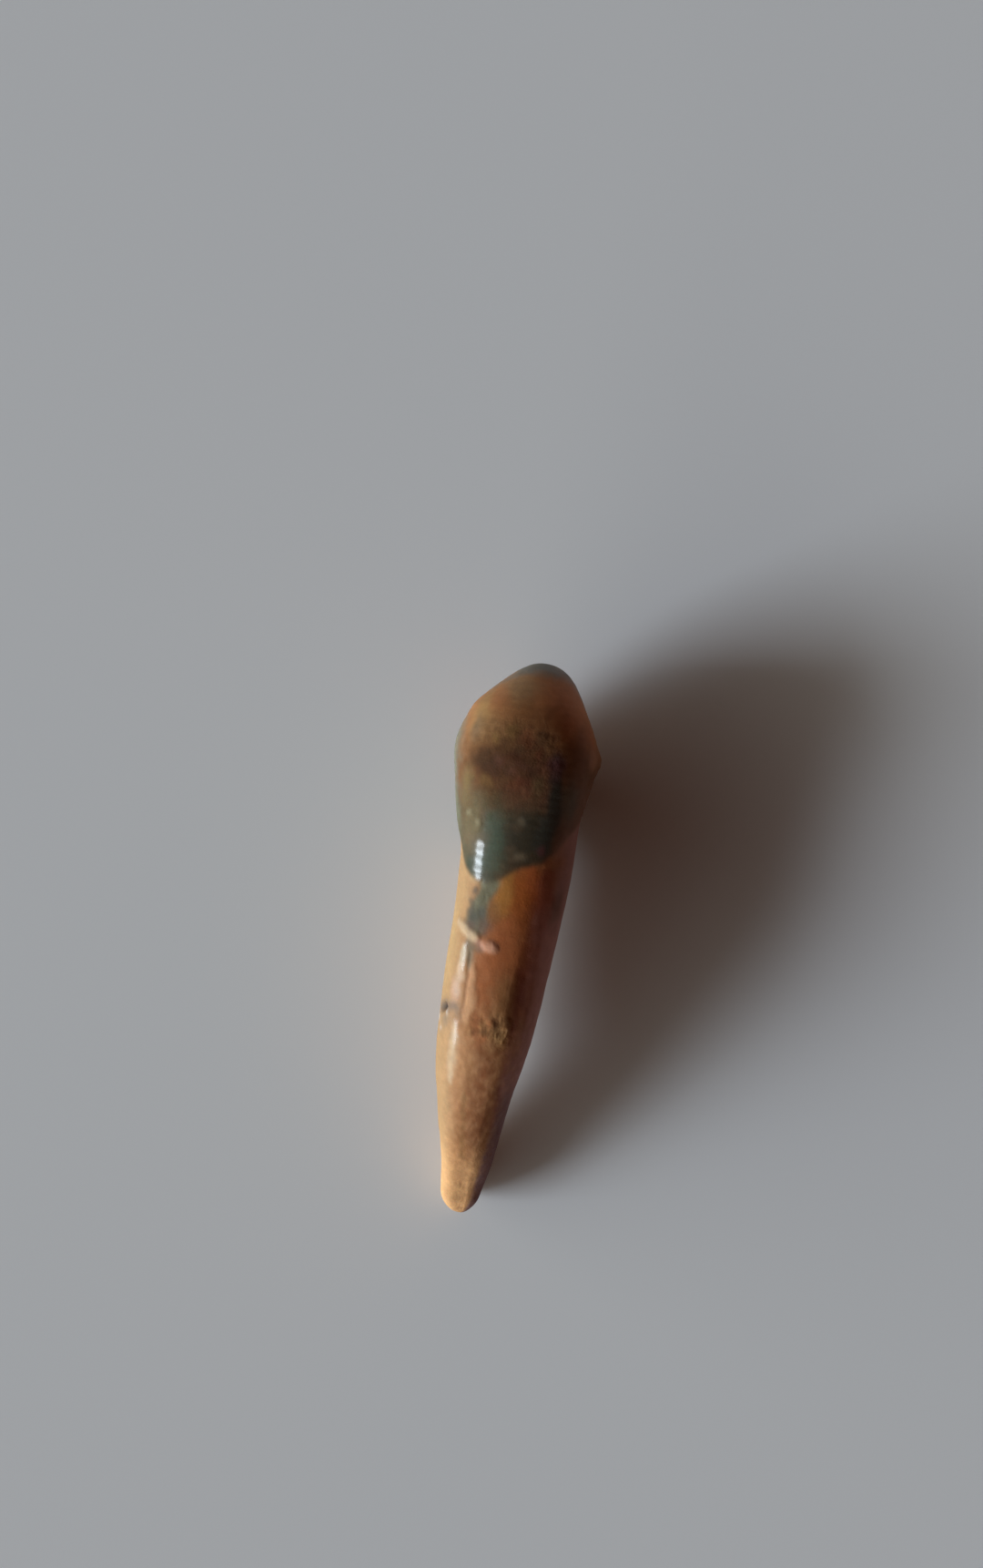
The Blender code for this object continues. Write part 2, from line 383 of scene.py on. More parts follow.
@dataclass
class Skin:
    """A closed surface on a grid: rings along the tooth, points round each ring, and a point at
    each tip. Rings crowd towards the tips and points round a ring crowd towards the top.

    Attributes:
        rings, sides: how many rows the grid has along the tooth, and points round each.
        crowding, top_crowding: how much rows crowd to the tips, and points to the top.
        ragged_size, ragged_reach: how the enamel's edge wanders.
        wander_size, grit_size: size of the noise in the wander and in the grit.
        fine_wander_size, fine_wander_share: size and share of the finer noise in the wander.
        enamel_sharpness: how many times narrower than its step the enamel's end is in colour.
        points: places of the surface, the two tips last.
        normals: outward directions.
        across: distance over the surface from the line along the top, to the right if positive.
        angle: angle round the tooth, from the right side over the upper face.
        enamel: 1 over the enamel and 0 over the root.
        wander: two fields of noise that shift the rims of marks, across and along the tooth.
        grit: fine noise that breaks the rims of marks up.
    """

    form: ToothForm
    rings: int = 350
    sides: int = 280
    crowding: int = 6
    top_crowding: float = 0.32
    ragged_size: float = 0.7
    ragged_reach: float = 0.16
    ragged_seed: int = 11
    wander_size: float = 1.4
    wander_seeds: tuple[int, int] = (31, 51)
    fine_wander_size: float = 0.42
    fine_wander_share: float = 0.5
    fine_wander_seeds: tuple[int, int] = (40, 60)
    grit_size: float = 0.3
    grit_seed: int = 71
    enamel_sharpness: float = 2.5
    points: np.ndarray = field(init=False)
    normals: np.ndarray = field(init=False)
    across: np.ndarray = field(init=False)
    angle: np.ndarray = field(init=False)
    enamel: np.ndarray = field(init=False)
    wander: np.ndarray = field(init=False)
    grit: np.ndarray = field(init=False)

    def __post_init__(self) -> None:
        """Lay the grid over the form and measure it.

        A row's place is its even place, pushed outward by a share that its own power takes away
        again at the tips. A direction is the cross product of the steps along and round the grid.
        The distance across is the girth up to the top line less the girth up to the point.
        """
        turns = np.arange(self.sides) * 2 * math.pi / self.sides
        turns = turns - math.pi / 2 + self.top_crowding * np.sin(turns)
        step = np.linspace(-1, 1, self.rings + 1)[1:-1]
        even = step * (1 + (1 - np.abs(step) ** self.crowding) / self.crowding)
        y, angle = np.meshgrid(self.form.half_length * even, turns, indexing="ij")
        plain = self.form.points(y, angle, np.zeros_like(y)).reshape(-1, 3)
        ragged = fractal(plain, self.ragged_size, self.ragged_seed).reshape(y.shape)
        ragged = self.ragged_reach * ragged
        grid = self.form.press_facet(self.form.points(y, angle, ragged))
        tips = np.stack([grid[0].mean(axis=0), grid[-1].mean(axis=0)])
        facing = np.cross(
            np.gradient(grid, axis=0), np.roll(grid, -1, axis=1) - np.roll(grid, 1, axis=1)
        )
        facing /= np.linalg.norm(facing, axis=-1, keepdims=True)
        girth = np.cumsum(np.linalg.norm(grid - np.roll(grid, 1, axis=1), axis=-1), axis=1)
        across = girth[:, self.sides // 2, None] - girth
        over = (self.form.enamel_distance(y, angle) + ragged).ravel() / self.form.enamel_edge_width
        self.points = np.vstack([grid.reshape(-1, 3), tips])
        self.normals = np.vstack([facing.reshape(-1, 3), [[0, -1, 0], [0, 1, 0]]])
        self.across = np.append(across.ravel(), [0.0, 0.0])
        self.angle = np.append(angle.ravel(), [0.0, 0.0])
        self.enamel = np.append(smooth(self.enamel_sharpness * over + 0.5), [0.0, 1.0])
        self.wander = np.stack([
            fractal(self.points, self.wander_size, seed)
            + self.fine_wander_share * fractal(self.points, self.fine_wander_size, fine_seed, 2)
            for seed, fine_seed in zip(self.wander_seeds, self.fine_wander_seeds)
        ], axis=-1)
        self.grit = fractal(self.points, self.grit_size, self.grit_seed, 2)

    @property
    def y(self) -> np.ndarray:
        """Place of each point along the tooth."""
        return self.points[:, 1]

    def unroll(self, x: float, y: float) -> np.ndarray:
        """Turn a place seen from above into a place on the unrolled surface.

        Args:
            x: distance to the right of the tooth's line.
            y: place along the tooth.

        Returns:
            Distance over the surface from the top line, and y.
        """
        start = self.nearest_ring(y) * self.sides
        ring = slice(start, start + self.sides)
        upper = np.sin(self.angle[ring]) >= 0
        order = np.argsort(self.points[ring][upper, 0])
        known, across = self.points[ring][upper, 0][order], self.across[ring][upper][order]
        return np.array([np.interp(x, known, across), y])

    def nearest_ring(self, y: float) -> int:
        """Number of the ring whose top lies nearest to y."""
        return int(np.argmin(np.abs(self.points[self.sides // 2 : -2 : self.sides, 1] - y)))

    def wandering(self, reach: float) -> np.ndarray:
        """Places on the unrolled surface, each moved by the wander times a reach."""
        return np.stack([self.across, self.y], axis=-1) + reach * self.wander

    def soaked(self, values: np.ndarray, times: int) -> np.ndarray:
        """Spread values a little over the surface: each time, a point keeps half of its own value
        and takes an eighth from each of its four neighbours.

        Args:
            values: values at the points, shape (n, channels).
            times: how many times they spread.

        Returns:
            The spread values, with those of the tips unchanged.
        """
        grid = values[:-2].reshape(self.rings - 1, self.sides, -1)
        for _ in range(times):
            beside = np.roll(grid, 1, axis=1) + np.roll(grid, -1, axis=1)
            along = np.concatenate([grid[:1], grid[:-1]]) + np.concatenate([grid[1:], grid[-1:]])
            grid = grid / 2 + (beside + along) / 8
        return np.vstack([grid.reshape(len(values) - 2, -1), values[-2:]])

    def moved(self, relief: np.ndarray) -> np.ndarray:
        """The points, each moved outward by its relief."""
        return self.points + self.normals * relief[:, None]

    def faces(self) -> list[list[int]]:
        """Quads between neighbouring rings, and a fan of triangles from each tip to its ring.

        Returns:
            The numbers of each face's points, turned so that the face points outward.
        """
        here = np.arange((self.rings - 1) * self.sides).reshape(-1, self.sides)
        beside = np.roll(here, -1, axis=1)
        quads = np.stack([here[:-1], here[1:], beside[1:], beside[:-1]], axis=-1).reshape(-1, 4)
        root_tip = np.full(self.sides, here.size)
        root_fan = np.column_stack([root_tip, here[0], beside[0]])
        crown_fan = np.column_stack([root_tip + 1, beside[-1], here[-1]])
        return quads.tolist() + root_fan.tolist() + crown_fan.tolist()


class Tissue(Enum):
    """The two tissues that show."""

    ENAMEL = "enamel"
    ROOT = "root"

    def share(self, skin: Skin) -> np.ndarray:
        """How far each point belongs to this tissue, from 0 to 1."""
        return skin.enamel if self is Tissue.ENAMEL else 1 - skin.enamel


@dataclass(frozen=True)
class Spot:
    """An oval on the surface, its middle given as seen from above.

    Attributes:
        x, y: the middle.
        half_width, half_length: reach across and along the tooth, where it is half faded.
        turn: degrees the oval is turned anticlockwise.
        soft: share of the reach over which it fades.
        ragged: how far its rim wanders.
        broken: how far fine grit breaks its rim, as a share of the reach.
    """

    x: float
    y: float
    half_width: float
    half_length: float
    turn: float = 0.0
    soft: float = 1.2
    ragged: float = 0.3
    broken: float = 0.25

    def cover(self, skin: Skin) -> np.ndarray:
        """Coverage of each point: one less the distance in units of the reach, roughened by the
        grit and made smooth.

        Args:
            skin: the surface.

        Returns:
            Coverage from 0 to 1.
        """
        offset = skin.wandering(self.ragged) - skin.unroll(self.x, self.y)
        cosine, sine = math.cos(math.radians(self.turn)), math.sin(math.radians(self.turn))
        wide = (cosine * offset[:, 0] + sine * offset[:, 1]) / self.half_width
        long = (cosine * offset[:, 1] - sine * offset[:, 0]) / self.half_length
        return fade(1 - np.hypot(wide, long) + self.broken * skin.grit, self.soft)


@dataclass(frozen=True)
class Streak:
    """A band along a bent line, with the soft, ragged and broken rim of a spot.

    Attributes:
        path: corners of the line, each (x, y, half width) seen from above.
    """

    path: tuple[tuple[float, float, float], ...]
    soft: float = 1.1
    ragged: float = 0.25
    broken: float = 0.25

    def cover(self, skin: Skin) -> np.ndarray:
        """Coverage of each point: one less its distance from the line in half widths, roughened by
        the grit and made smooth.

        Args:
            skin: the surface.

        Returns:
            Coverage from 0 to 1.
        """
        place = skin.wandering(self.ragged)
        corners = [(skin.unroll(x, y), width) for x, y, width in self.path]
        inside = np.full(len(place), -1.0)
        for (start, first), (end, last) in zip(corners, corners[1:]):
            run = end - start
            part = np.clip((place - start) @ run / (run @ run), 0, 1)
            gap = np.linalg.norm(place - start - part[:, None] * run, axis=-1)
            inside = np.maximum(inside, 1 - gap / (first + part * (last - first)))
        return fade(inside + self.broken * skin.grit, self.soft)


@dataclass(frozen=True)
class Flank:
    """A side of the tooth: a range of angles, cut to a range along it, with soft wandering rims.

    Attributes:
        angle: its middle in degrees, from the right side over the upper face.
        half_angle: degrees from there to where it is half faded.
        low, high: where it is half faded along the tooth.
        fade: degrees over which its sides fade.
        fade_along: length over which its ends fade.
        ragged: degrees that its sides wander.
        ragged_along: how far its ends wander for each degree that its sides do.
    """

    angle: float
    half_angle: float
    low: float = -30.0
    high: float = 30.0
    fade: float = 25.0
    fade_along: float = 1.6
    ragged: float = 9.0
    ragged_along: float = 0.1

    def cover(self, skin: Skin) -> np.ndarray:
        """Coverage of each point: how far inside its angle and its place are, made smooth.

        Args:
            skin: the surface.

        Returns:
            Coverage from 0 to 1.
        """
        off = np.abs(degrees_from(skin.angle, self.angle)) + self.ragged * skin.wander[:, 0]
        y = skin.y + self.ragged_along * self.ragged * skin.wander[:, 1]
        across = fade(self.half_angle - off, self.fade)
        return across * fade(y - self.low, self.fade_along) * fade(self.high - y, self.fade_along)


Shape = Spot | Streak | Flank


def covered(shapes: tuple[Shape, ...], skin: Skin) -> np.ndarray:
    """Coverage of each point by whichever shape covers it most."""
    return np.max([shape.cover(skin) for shape in shapes], axis=0)


@dataclass(frozen=True)
class ColourLayer:
    """A colour laid over the ones before it. Most are stains; a few are painted highlight, painted
    shade and painted fill light.

    Attributes:
        colour: red, green and blue as shown on a screen, 0 to 255.
        shapes: where it is.
        strength: how much it hides.
        patchy: 0 for an even stain, 1 for one broken into patches.
        patch: size of a patch.
        contrast: how sharply patches end.
    """

    colour: ScreenColour
    shapes: tuple[Shape, ...]
    strength: float = 1.0
    patchy: float = 0.0
    patch: float = 0.6
    contrast: float = 1.6

    def cover(self, skin: Skin, seed: int) -> np.ndarray:
        """Cover of each point: the shapes' coverage times the strength, lowered between patches."""
        patches = smooth(0.5 + self.contrast * fractal(skin.points, self.patch, seed))
        return self.strength * covered(self.shapes, skin) * (1 - self.patchy + self.patchy * patches)


@dataclass(frozen=True)
class StainsAndPaintedLight:
    """Colours of enamel and root, from the tissue's own to the last mark over it. Most marks are stains;
    a few are painted highlight, painted shade and painted fill light.
    """

    enamel_colour: ScreenColour = (172, 118, 72)
    root_colour: ScreenColour = (164, 108, 66)
    enamel_seed: int = 100
    root_seed: int = 300
    soaking: int = 3
    enamel_stains_and_painted_light: tuple[ColourLayer, ...] = (
        # the lower half is browner, and the underside has green stains from the ground
        ColourLayer((108, 72, 42), (Flank(90, 200, 2, 12.9, fade_along=3.6),), 0.9),
        ColourLayer((72, 56, 38), (Flank(90, 200, 2, 9.0, fade_along=3.0),), 0.75, 0.3, 1.2),
        ColourLayer((82, 92, 74), (Flank(270, 80, 2, 8.6),), 0.7, 0.8, 1.8),
        # oranges and ochres over the upper half
        ColourLayer((200, 132, 84), (Spot(1.3, 15.1, 2.1, 1.6),)),
        ColourLayer((180, 116, 74), (Spot(3.2, 13.6, 1.0, 0.8),), 0.8),
        ColourLayer((150, 100, 60), (Spot(-1.4, 14.3, 1.7, 1.3, soft=1.3, ragged=0.5),), 0.6, 0.4, 0.8),
        ColourLayer((158, 122, 84), (Spot(-1.5, 16.0, 1.2, 0.9),), 0.85),
        ColourLayer((162, 126, 78), (Spot(-3.5, 14.1, 0.8, 1.4, soft=1.5),), 0.8),
        ColourLayer((170, 110, 68), (Spot(-2.6, 15.2, 0.7, 0.7, soft=1.5),), 0.7),
        ColourLayer((140, 104, 66), (Spot(-2.9, 13.3, 1.1, 0.8),), 0.8),
        # a worn, greyish rim round the point and down both slopes
        ColourLayer((128, 130, 122), (Flank(90, 200, 17.1, 30, fade_along=1.0, ragged=4.0),), 0.9),
        ColourLayer((150, 140, 128), (
            Streak(((0.6, 17.7, 0.35), (1.8, 17.0, 0.5), (2.6, 15.9, 0.45), (3.2, 14.6, 0.3)), 1.8),
        ), 0.7),
        ColourLayer((128, 118, 104), (Streak(((-0.8, 17.6, 0.3), (-2.0, 16.8, 0.3), (-3.1, 15.9, 0.25))),), 0.6),
        ColourLayer((124, 128, 112), (Flank(182, 24, 7.6, 13.6),), 0.85),
        ColourLayer((124, 98, 72), (Spot(-3.7, 13.2, 0.5, 0.8, soft=1.5),), 0.7),
        # the etched patch in the middle and the flecks in it
        ColourLayer((118, 76, 44), (Spot(-0.3, 13.9, 2.2, 1.3, soft=1.7, ragged=0.5),), 0.6, 0.2, 0.8),
        ColourLayer((104, 68, 39), (Spot(-1.6, 12.0, 2.3, 1.5, soft=1.4, ragged=0.7),), 0.8, 0.3, 0.6),
        ColourLayer((66, 37, 19), (Spot(-0.9, 10.8, 2.8, 1.9, soft=1.2, ragged=0.7),), 0.84, 0.25, 0.5),
        ColourLayer((92, 42, 26), (Spot(-0.7, 10.6, 2.2, 1.5, soft=1.3, ragged=0.7),), 0.55, 0.7, 0.55),
        ColourLayer((90, 62, 34), (Spot(-1.0, 10.9, 2.6, 2.4, soft=1.3, ragged=0.7),), 0.4, 1.0, 0.4),
        ColourLayer((64, 40, 23), (Spot(-2.8, 11.3, 1.2, 0.8, soft=1.5, ragged=0.6),), 0.75, 0.2, 0.4),
        ColourLayer((124, 94, 50), (
            Spot(-1.5, 13.3, 0.35, 0.5), Spot(-2.6, 10.1, 0.5, 0.35), Spot(-2.4, 12.8, 0.3, 0.4),
        ), 0.45),
        # painted highlight: a lighter yellow-olive on the crown's left edge, a dull glint of the lamp
        ColourLayer((122, 106, 68), (Spot(-3.75, 9.6, 0.5, 1.0, soft=1.6),), 0.6),
        ColourLayer((86, 64, 37), (Spot(0.45, 10.2, 0.4, 0.6),), 0.8),
        ColourLayer((118, 60, 36), (
            Spot(-0.5, 13.0, 0.32, 0.6), Spot(-0.9, 10.1, 0.45, 0.3), Spot(-0.3, 9.7, 0.4, 0.3),
            Spot(0.3, 12.1, 0.3, 0.3),
        ), 0.4),
        ColourLayer((102, 64, 50), (
            Spot(-0.8, 11.35, 0.7, 0.14), Spot(-2.1, 11.5, 0.4, 0.3), Spot(-1.3, 10.9, 0.3, 0.2),
        ), 0.5),
        ColourLayer((68, 44, 25), (
            Spot(-1.0, 12.2, 0.35, 0.28), Spot(0.15, 13.2, 0.3, 0.36), Spot(-3.3, 11.3, 0.5, 0.4),
            Spot(0.0, 10.9, 0.3, 0.22),
        ), 0.5),
        ColourLayer((79, 58, 32), (Spot(-1.2, 9.0, 2.2, 0.9),), 0.85, 0.4, 0.5),
        ColourLayer((96, 54, 36), (Spot(-0.4, 9.3, 1.3, 0.7, soft=1.3, ragged=0.6),), 0.6, 0.5, 0.4),
        # green below the patch, lighter towards the left edge
        ColourLayer((60, 68, 52), (
            Spot(-1.6, 6.6, 1.05, 2.0, ragged=0.5), Spot(-2.4, 5.1, 1.4, 1.2, ragged=0.4),
        ), 0.95, 0.15, 0.5),
        ColourLayer((86, 72, 50), (Spot(-1.3, 5.2, 0.7, 0.5, soft=1.5),), 0.5),
        ColourLayer((66, 78, 62), (Spot(-1.65, 7.0, 0.5, 1.2), Spot(-1.7, 5.3, 0.5, 0.6)), 0.7, 0.3, 0.3),
        ColourLayer((88, 76, 52), (Spot(-2.6, 7.6, 0.9, 1.3, soft=1.4, ragged=0.6),), 0.7, 0.8, 0.3),
        ColourLayer((112, 100, 74), (Spot(-3.1, 7.6, 0.8, 1.6, soft=1.5),), 0.75),
        ColourLayer((106, 104, 80), (Flank(170, 22, 4.0, 9.0),), 0.75),
        ColourLayer((150, 140, 112), (Spot(-3.35, 8.2, 0.17, 0.2), Spot(-2.75, 7.65, 0.13, 0.16)), 0.6),
        # dark brown at the right, with the black band
        ColourLayer((128, 92, 70), (Flank(40, 30, 2, 10.6),), 0.8),
        ColourLayer((52, 45, 32), (Spot(0.3, 7.0, 1.25, 1.9, soft=0.9, ragged=0.4),), 0.95),
        ColourLayer((126, 88, 62), (Spot(2.7, 11.8, 0.9, 1.9, soft=1.4),), 0.75),
        ColourLayer((92, 86, 68), (Spot(2.5, 9.6, 0.7, 1.2, soft=1.3),), 0.7),
        ColourLayer((170, 124, 92), (Spot(3.6, 12.4, 0.6, 0.6, soft=1.0),), 0.8),
        ColourLayer((60, 58, 50), (
            Streak((
                (1.4, 12.1, 0.3), (1.55, 10.8, 0.4), (1.65, 9.2, 0.5), (1.5, 7.8, 0.6), (1.3, 6.7, 0.6),
            ), 1.2, 0.3),
        ), 0.95),
        ColourLayer((114, 62, 62), (Spot(1.45, 11.5, 0.45, 0.8, soft=1.5), Spot(1.2, 6.5, 0.3, 0.3)), 0.6),
        ColourLayer((80, 64, 46), (
            Spot(-0.3, 7.5, 0.3, 0.22), Spot(-0.6, 6.3, 0.4, 0.22), Spot(0.0, 5.8, 0.6, 0.25),
        ), 0.75),
        ColourLayer((122, 106, 84), (Spot(-0.2, 7.9, 0.24, 0.16), Spot(0.1, 5.8, 0.3, 0.1)), 0.6),
    )
    root_stains_and_painted_light: tuple[ColourLayer, ...] = (
        ColourLayer((176, 139, 98), (Flank(184, 58, fade=34),), 0.95),
        # painted fill light: the right flank, away from the key lamp, is paler and greyer than the root's
        # own colour
        ColourLayer((160, 118, 110), (Flank(0, 52, fade=30),), 0.9),
        ColourLayer((186, 144, 98), (Flank(270, 40, fade=40),), 0.7, 0.8, 2.2),
        ColourLayer((192, 156, 108), (Flank(172, 26, -3.5, 3, fade_along=3.0),), 0.6, 0.4, 1.2),
        # amber under the enamel, then red-brown, orange and olive
        ColourLayer((156, 80, 27), (Spot(0.6, 3.6, 1.6, 2.4, ragged=0.4),), 0.95),
        ColourLayer((172, 118, 54), (Streak(((-0.5, 4.9, 0.4), (-0.6, 3.6, 0.5), (-0.4, 2.5, 0.4)), 1.6),), 0.75),
        ColourLayer((176, 90, 46), (Streak(((0.9, 5.2, 0.35), (1.3, 4.4, 0.45), (1.6, 2.8, 0.35)), 1.6),), 0.6),
        ColourLayer((164, 92, 50), (Spot(0.2, 0.2, 1.5, 1.9, soft=1.5),), 0.9),
        ColourLayer((160, 90, 68), (
            Streak((
                (1.9, 5.0, 0.45), (2.0, 1.5, 0.6), (1.8, -2.0, 0.5), (1.4, -6.0, 0.4), (1.1, -11.0, 0.3),
            ), 1.5),
        ), 0.7),
        ColourLayer((96, 72, 50), (Spot(2.8, 3.0, 0.7, 1.3, soft=1.0),), 0.5),
        ColourLayer((176, 102, 58), (Spot(-0.8, -1.8, 0.7, 1.7, soft=1.6),), 0.8),
        ColourLayer((148, 102, 60), (Spot(0.6, -2.9, 0.6, 1.4, soft=1.6),), 0.7),
        # tan down the middle and the left to a pale tip; on the right, painted shade on the tip's side and
        # painted fill light above it
        ColourLayer((126, 74, 42), (
            Streak((
                (-0.1, -5.5, 0.8), (0.0, -8.5, 0.8), (0.15, -11.0, 0.7), (0.3, -13.5, 0.45),
            ), 1.5, 0.4),
        ), 0.85),
        ColourLayer((188, 138, 94), (
            Streak(((-1.3, -5.4, 0.5), (-1.2, -7.5, 0.6), (-1.0, -9.5, 0.3)), 1.6, 0.4),
        ), 0.7),
        ColourLayer((228, 174, 120), (Flank(130, 74, -30, -13.5, fade_along=5.0),), 0.85),
        # painted shade: the right side of the tip, turned away from the lamp, is darker
        ColourLayer((134, 104, 106), (Flank(20, 38, -30, -7, fade=18, fade_along=4.0, ragged=6.0),), 0.85),
        # painted fill light: the shaded right flank above the tip is paler and pinker
        ColourLayer((184, 134, 124), (Flank(16, 46, -9, 2.5, fade=22, fade_along=2.5),), 0.8),
        # sandy flecks over the upper face
        ColourLayer((200, 150, 106), (Flank(96, 50, -30, -2, fade_along=4.0),), 0.36, 1.0, 0.3),
        ColourLayer((124, 70, 36), (Flank(80, 46, -30, -2, fade_along=5.0),), 0.3, 1.0, 0.24),
        ColourLayer((126, 92, 52), (
            Streak(((-0.9, -9.0, 0.14), (-0.7, -12.0, 0.2), (-0.4, -14.0, 0.12)), 1.8),
        ), 0.5, 0.9, 0.3),
        # the grey stain under the enamel's edge and what borders it
        ColourLayer((192, 166, 122), (Spot(-1.9, 4.15, 0.8, 0.32),), 0.85),
        ColourLayer((98, 98, 76), (
            Streak((
                (-1.5, 3.9, 0.5), (-1.55, 3.2, 0.58), (-1.75, 2.5, 0.7), (-1.8, 1.6, 0.8),
            ), 0.9, 0.3),
        ), 0.92),
        ColourLayer((74, 70, 60), (
            Spot(-2.25, 3.4, 0.26, 0.14), Spot(-2.35, 2.85, 0.3, 0.17), Spot(-2.0, 1.9, 0.5, 0.45),
            Spot(-2.3, 2.3, 0.3, 0.25), Spot(-1.5, 2.2, 0.4, 0.35),
        ), 0.8),
        ColourLayer((104, 78, 64), (Spot(-1.2, 1.5, 0.5, 0.5), Spot(-2.1, 1.35, 0.45, 0.3)), 0.75),
        ColourLayer((130, 92, 54), (Spot(-0.8, 2.3, 0.4, 0.6),), 0.6),
        ColourLayer((196, 166, 132), (
            Streak(((-2.85, 1.4, 0.16), (-2.4, 1.08, 0.26), (-1.9, 0.78, 0.26), (-1.55, 0.6, 0.16)), 1.1),
        ), 0.95),
        ColourLayer((176, 128, 106), (Spot(-1.35, 0.45, 0.3, 0.24),), 0.8),
        ColourLayer((210, 154, 124), (Spot(-0.78, 0.38, 0.44, 0.28, -14, 1.0, 0.3),), 0.95),
        # stripes and a crack down the left of the upper face; the pale stripes and the spot near x = -2.3
        # are painted highlight along the line of the lamp's glint
        ColourLayer((112, 96, 78), (Spot(-1.6, 0.15, 0.4, 0.25, soft=1.5),), 0.6),
        ColourLayer((112, 100, 80), (
            Streak(((-2.0, 0.3, 0.3), (-1.9, -0.5, 0.3), (-1.8, -1.3, 0.14)), 1.5),
        ), 0.8),
        # painted highlight over the low ridge: the lamp's glint, pale and a little blue
        ColourLayer((206, 194, 170), (
            Streak(((-2.3, 0.1, 0.12), (-2.3, -0.5, 0.22), (-2.3, -1.1, 0.12)), 1.7, 0.3),
        ), 0.65),
        # painted highlight: the glint continues down the same line
        ColourLayer((212, 182, 154), (
            Streak(((-2.4, -1.1, 0.14), (-2.38, -1.9, 0.28), (-2.35, -2.9, 0.16)), 1.9, 0.3),
        ), 0.75),
        # painted highlight: a soft pale spot where the glint fades
        ColourLayer((196, 158, 138), (Spot(-2.45, -2.8, 0.35, 0.9, soft=1.8),), 0.6),
        ColourLayer((212, 162, 120), (
            Streak(((-1.6, -0.8, 0.12), (-1.5, -2.2, 0.26), (-1.5, -3.2, 0.26), (-1.6, -4.4, 0.12)), 1.8),
        ), 0.6),
        ColourLayer((140, 96, 64), (
            Streak(((-1.9, -1.5, 0.1), (-1.87, -2.7, 0.12), (-1.9, -3.5, 0.08)), 1.4, 0.12),
        ), 0.5),
        # painted highlight: the glint again, lower down the root's left
        ColourLayer((208, 182, 148), (
            Streak(((-2.15, -4.9, 0.2), (-2.1, -6.0, 0.3), (-2.0, -7.2, 0.3), (-1.9, -8.4, 0.16)), 1.9, 0.2),
        ), 0.55),
        # the pit at the left
        ColourLayer((118, 100, 88), (
            Streak(((-3.2, -4.1, 0.34), (-2.7, -3.85, 0.3), (-2.3, -3.75, 0.16)), 1.8, 0.3),
        ), 0.75),
        ColourLayer((138, 118, 98), (Spot(-2.7, -4.8, 0.55, 0.35, ragged=0.5),), 0.75, 0.4, 0.3),
        ColourLayer((132, 112, 94), (Spot(-2.2, -3.9, 0.35, 0.5, ragged=0.5),), 0.5, 0.5, 0.3),
        ColourLayer((56, 44, 40), (Spot(-3.0, -4.0, 0.36, 0.2, 15, 0.9, 0.2),), 0.95),
        ColourLayer((194, 188, 182), (
            Spot(-3.15, -4.65, 0.26, 0.2), Spot(-2.75, -4.35, 0.17, 0.11), Spot(-3.0, -5.2, 0.15, 0.11),
        ), 0.75),
        # the rough patch across the middle
        ColourLayer((190, 146, 94), (Spot(0.4, -4.7, 1.4, 1.0, soft=1.4, ragged=0.5),), 0.85, 0.6, 0.35),
        ColourLayer((178, 100, 62), (Spot(-0.7, -4.6, 0.6, 1.1, soft=1.4, ragged=0.5),), 0.6, 0.8, 0.35),
        ColourLayer((104, 66, 38), (Spot(0.1, -4.5, 1.2, 0.7, soft=1.6, ragged=0.4),), 0.75, 1.0, 0.34),
        ColourLayer((108, 66, 40), (
            Spot(0.05, -4.35, 0.2, 0.12), Spot(-0.5, -4.9, 0.26, 0.12), Spot(-1.0, -5.0, 0.18, 0.24),
        ), 0.8),
        # dark red down the shallow furrow at the right
        ColourLayer((126, 58, 46), (
            Streak(((1.3, -0.8, 0.2), (1.35, -2.4, 0.34), (1.35, -3.6, 0.3), (1.25, -5.4, 0.22)), 1.8),
        ), 0.5),
    )

    def colour(self, skin: Skin) -> np.ndarray:
        """Colour of each point: each tissue's stains and painted light laid over its own colour in turn,
        the two tissues added by their shares, and all soaked in a little.

        Args:
            skin: the surface.

        Returns:
            Light colours, shape (n, 3).
        """
        total = np.zeros((len(skin.points), 3))
        for tissue, own, tissue_layers, seed in (
            (Tissue.ENAMEL, self.enamel_colour, self.enamel_stains_and_painted_light, self.enamel_seed),
            (Tissue.ROOT, self.root_colour, self.root_stains_and_painted_light, self.root_seed),
        ):
            colour = np.tile(linear(own), (len(skin.points), 1))
            for number, stain_and_painted_light in enumerate(tissue_layers):
                cover = stain_and_painted_light.cover(skin, seed + number)[:, None]
                colour = colour * (1 - cover) + linear(stain_and_painted_light.colour) * cover
            total += tissue.share(skin)[:, None] * colour
        return skin.soaked(total, self.soaking)


@dataclass(frozen=True)
class Feature:
    """A small rise, or a hollow if its height is negative, over a few shapes.

    Attributes:
        height: how far it stands out.
        shapes: where it is.
        broken: 0 for an even form, 1 for one broken into lumps.
        lump: size of a lump.
        contrast: how sharply lumps end.
        seed: which set of lumps.
    """

    height: float
    shapes: tuple[Shape, ...]
    broken: float = 0.0
    lump: float = 0.3
    contrast: float = 1.3
    seed: int = 77

    def rise(self, skin: Skin) -> np.ndarray:
        """Height at each point: the shapes' coverage times the height, lowered between lumps."""
        lumps = smooth(0.5 + self.contrast * fractal(skin.points, self.lump, self.seed, 2))
        return self.height * covered(self.shapes, skin) * (1 - self.broken + self.broken * lumps)


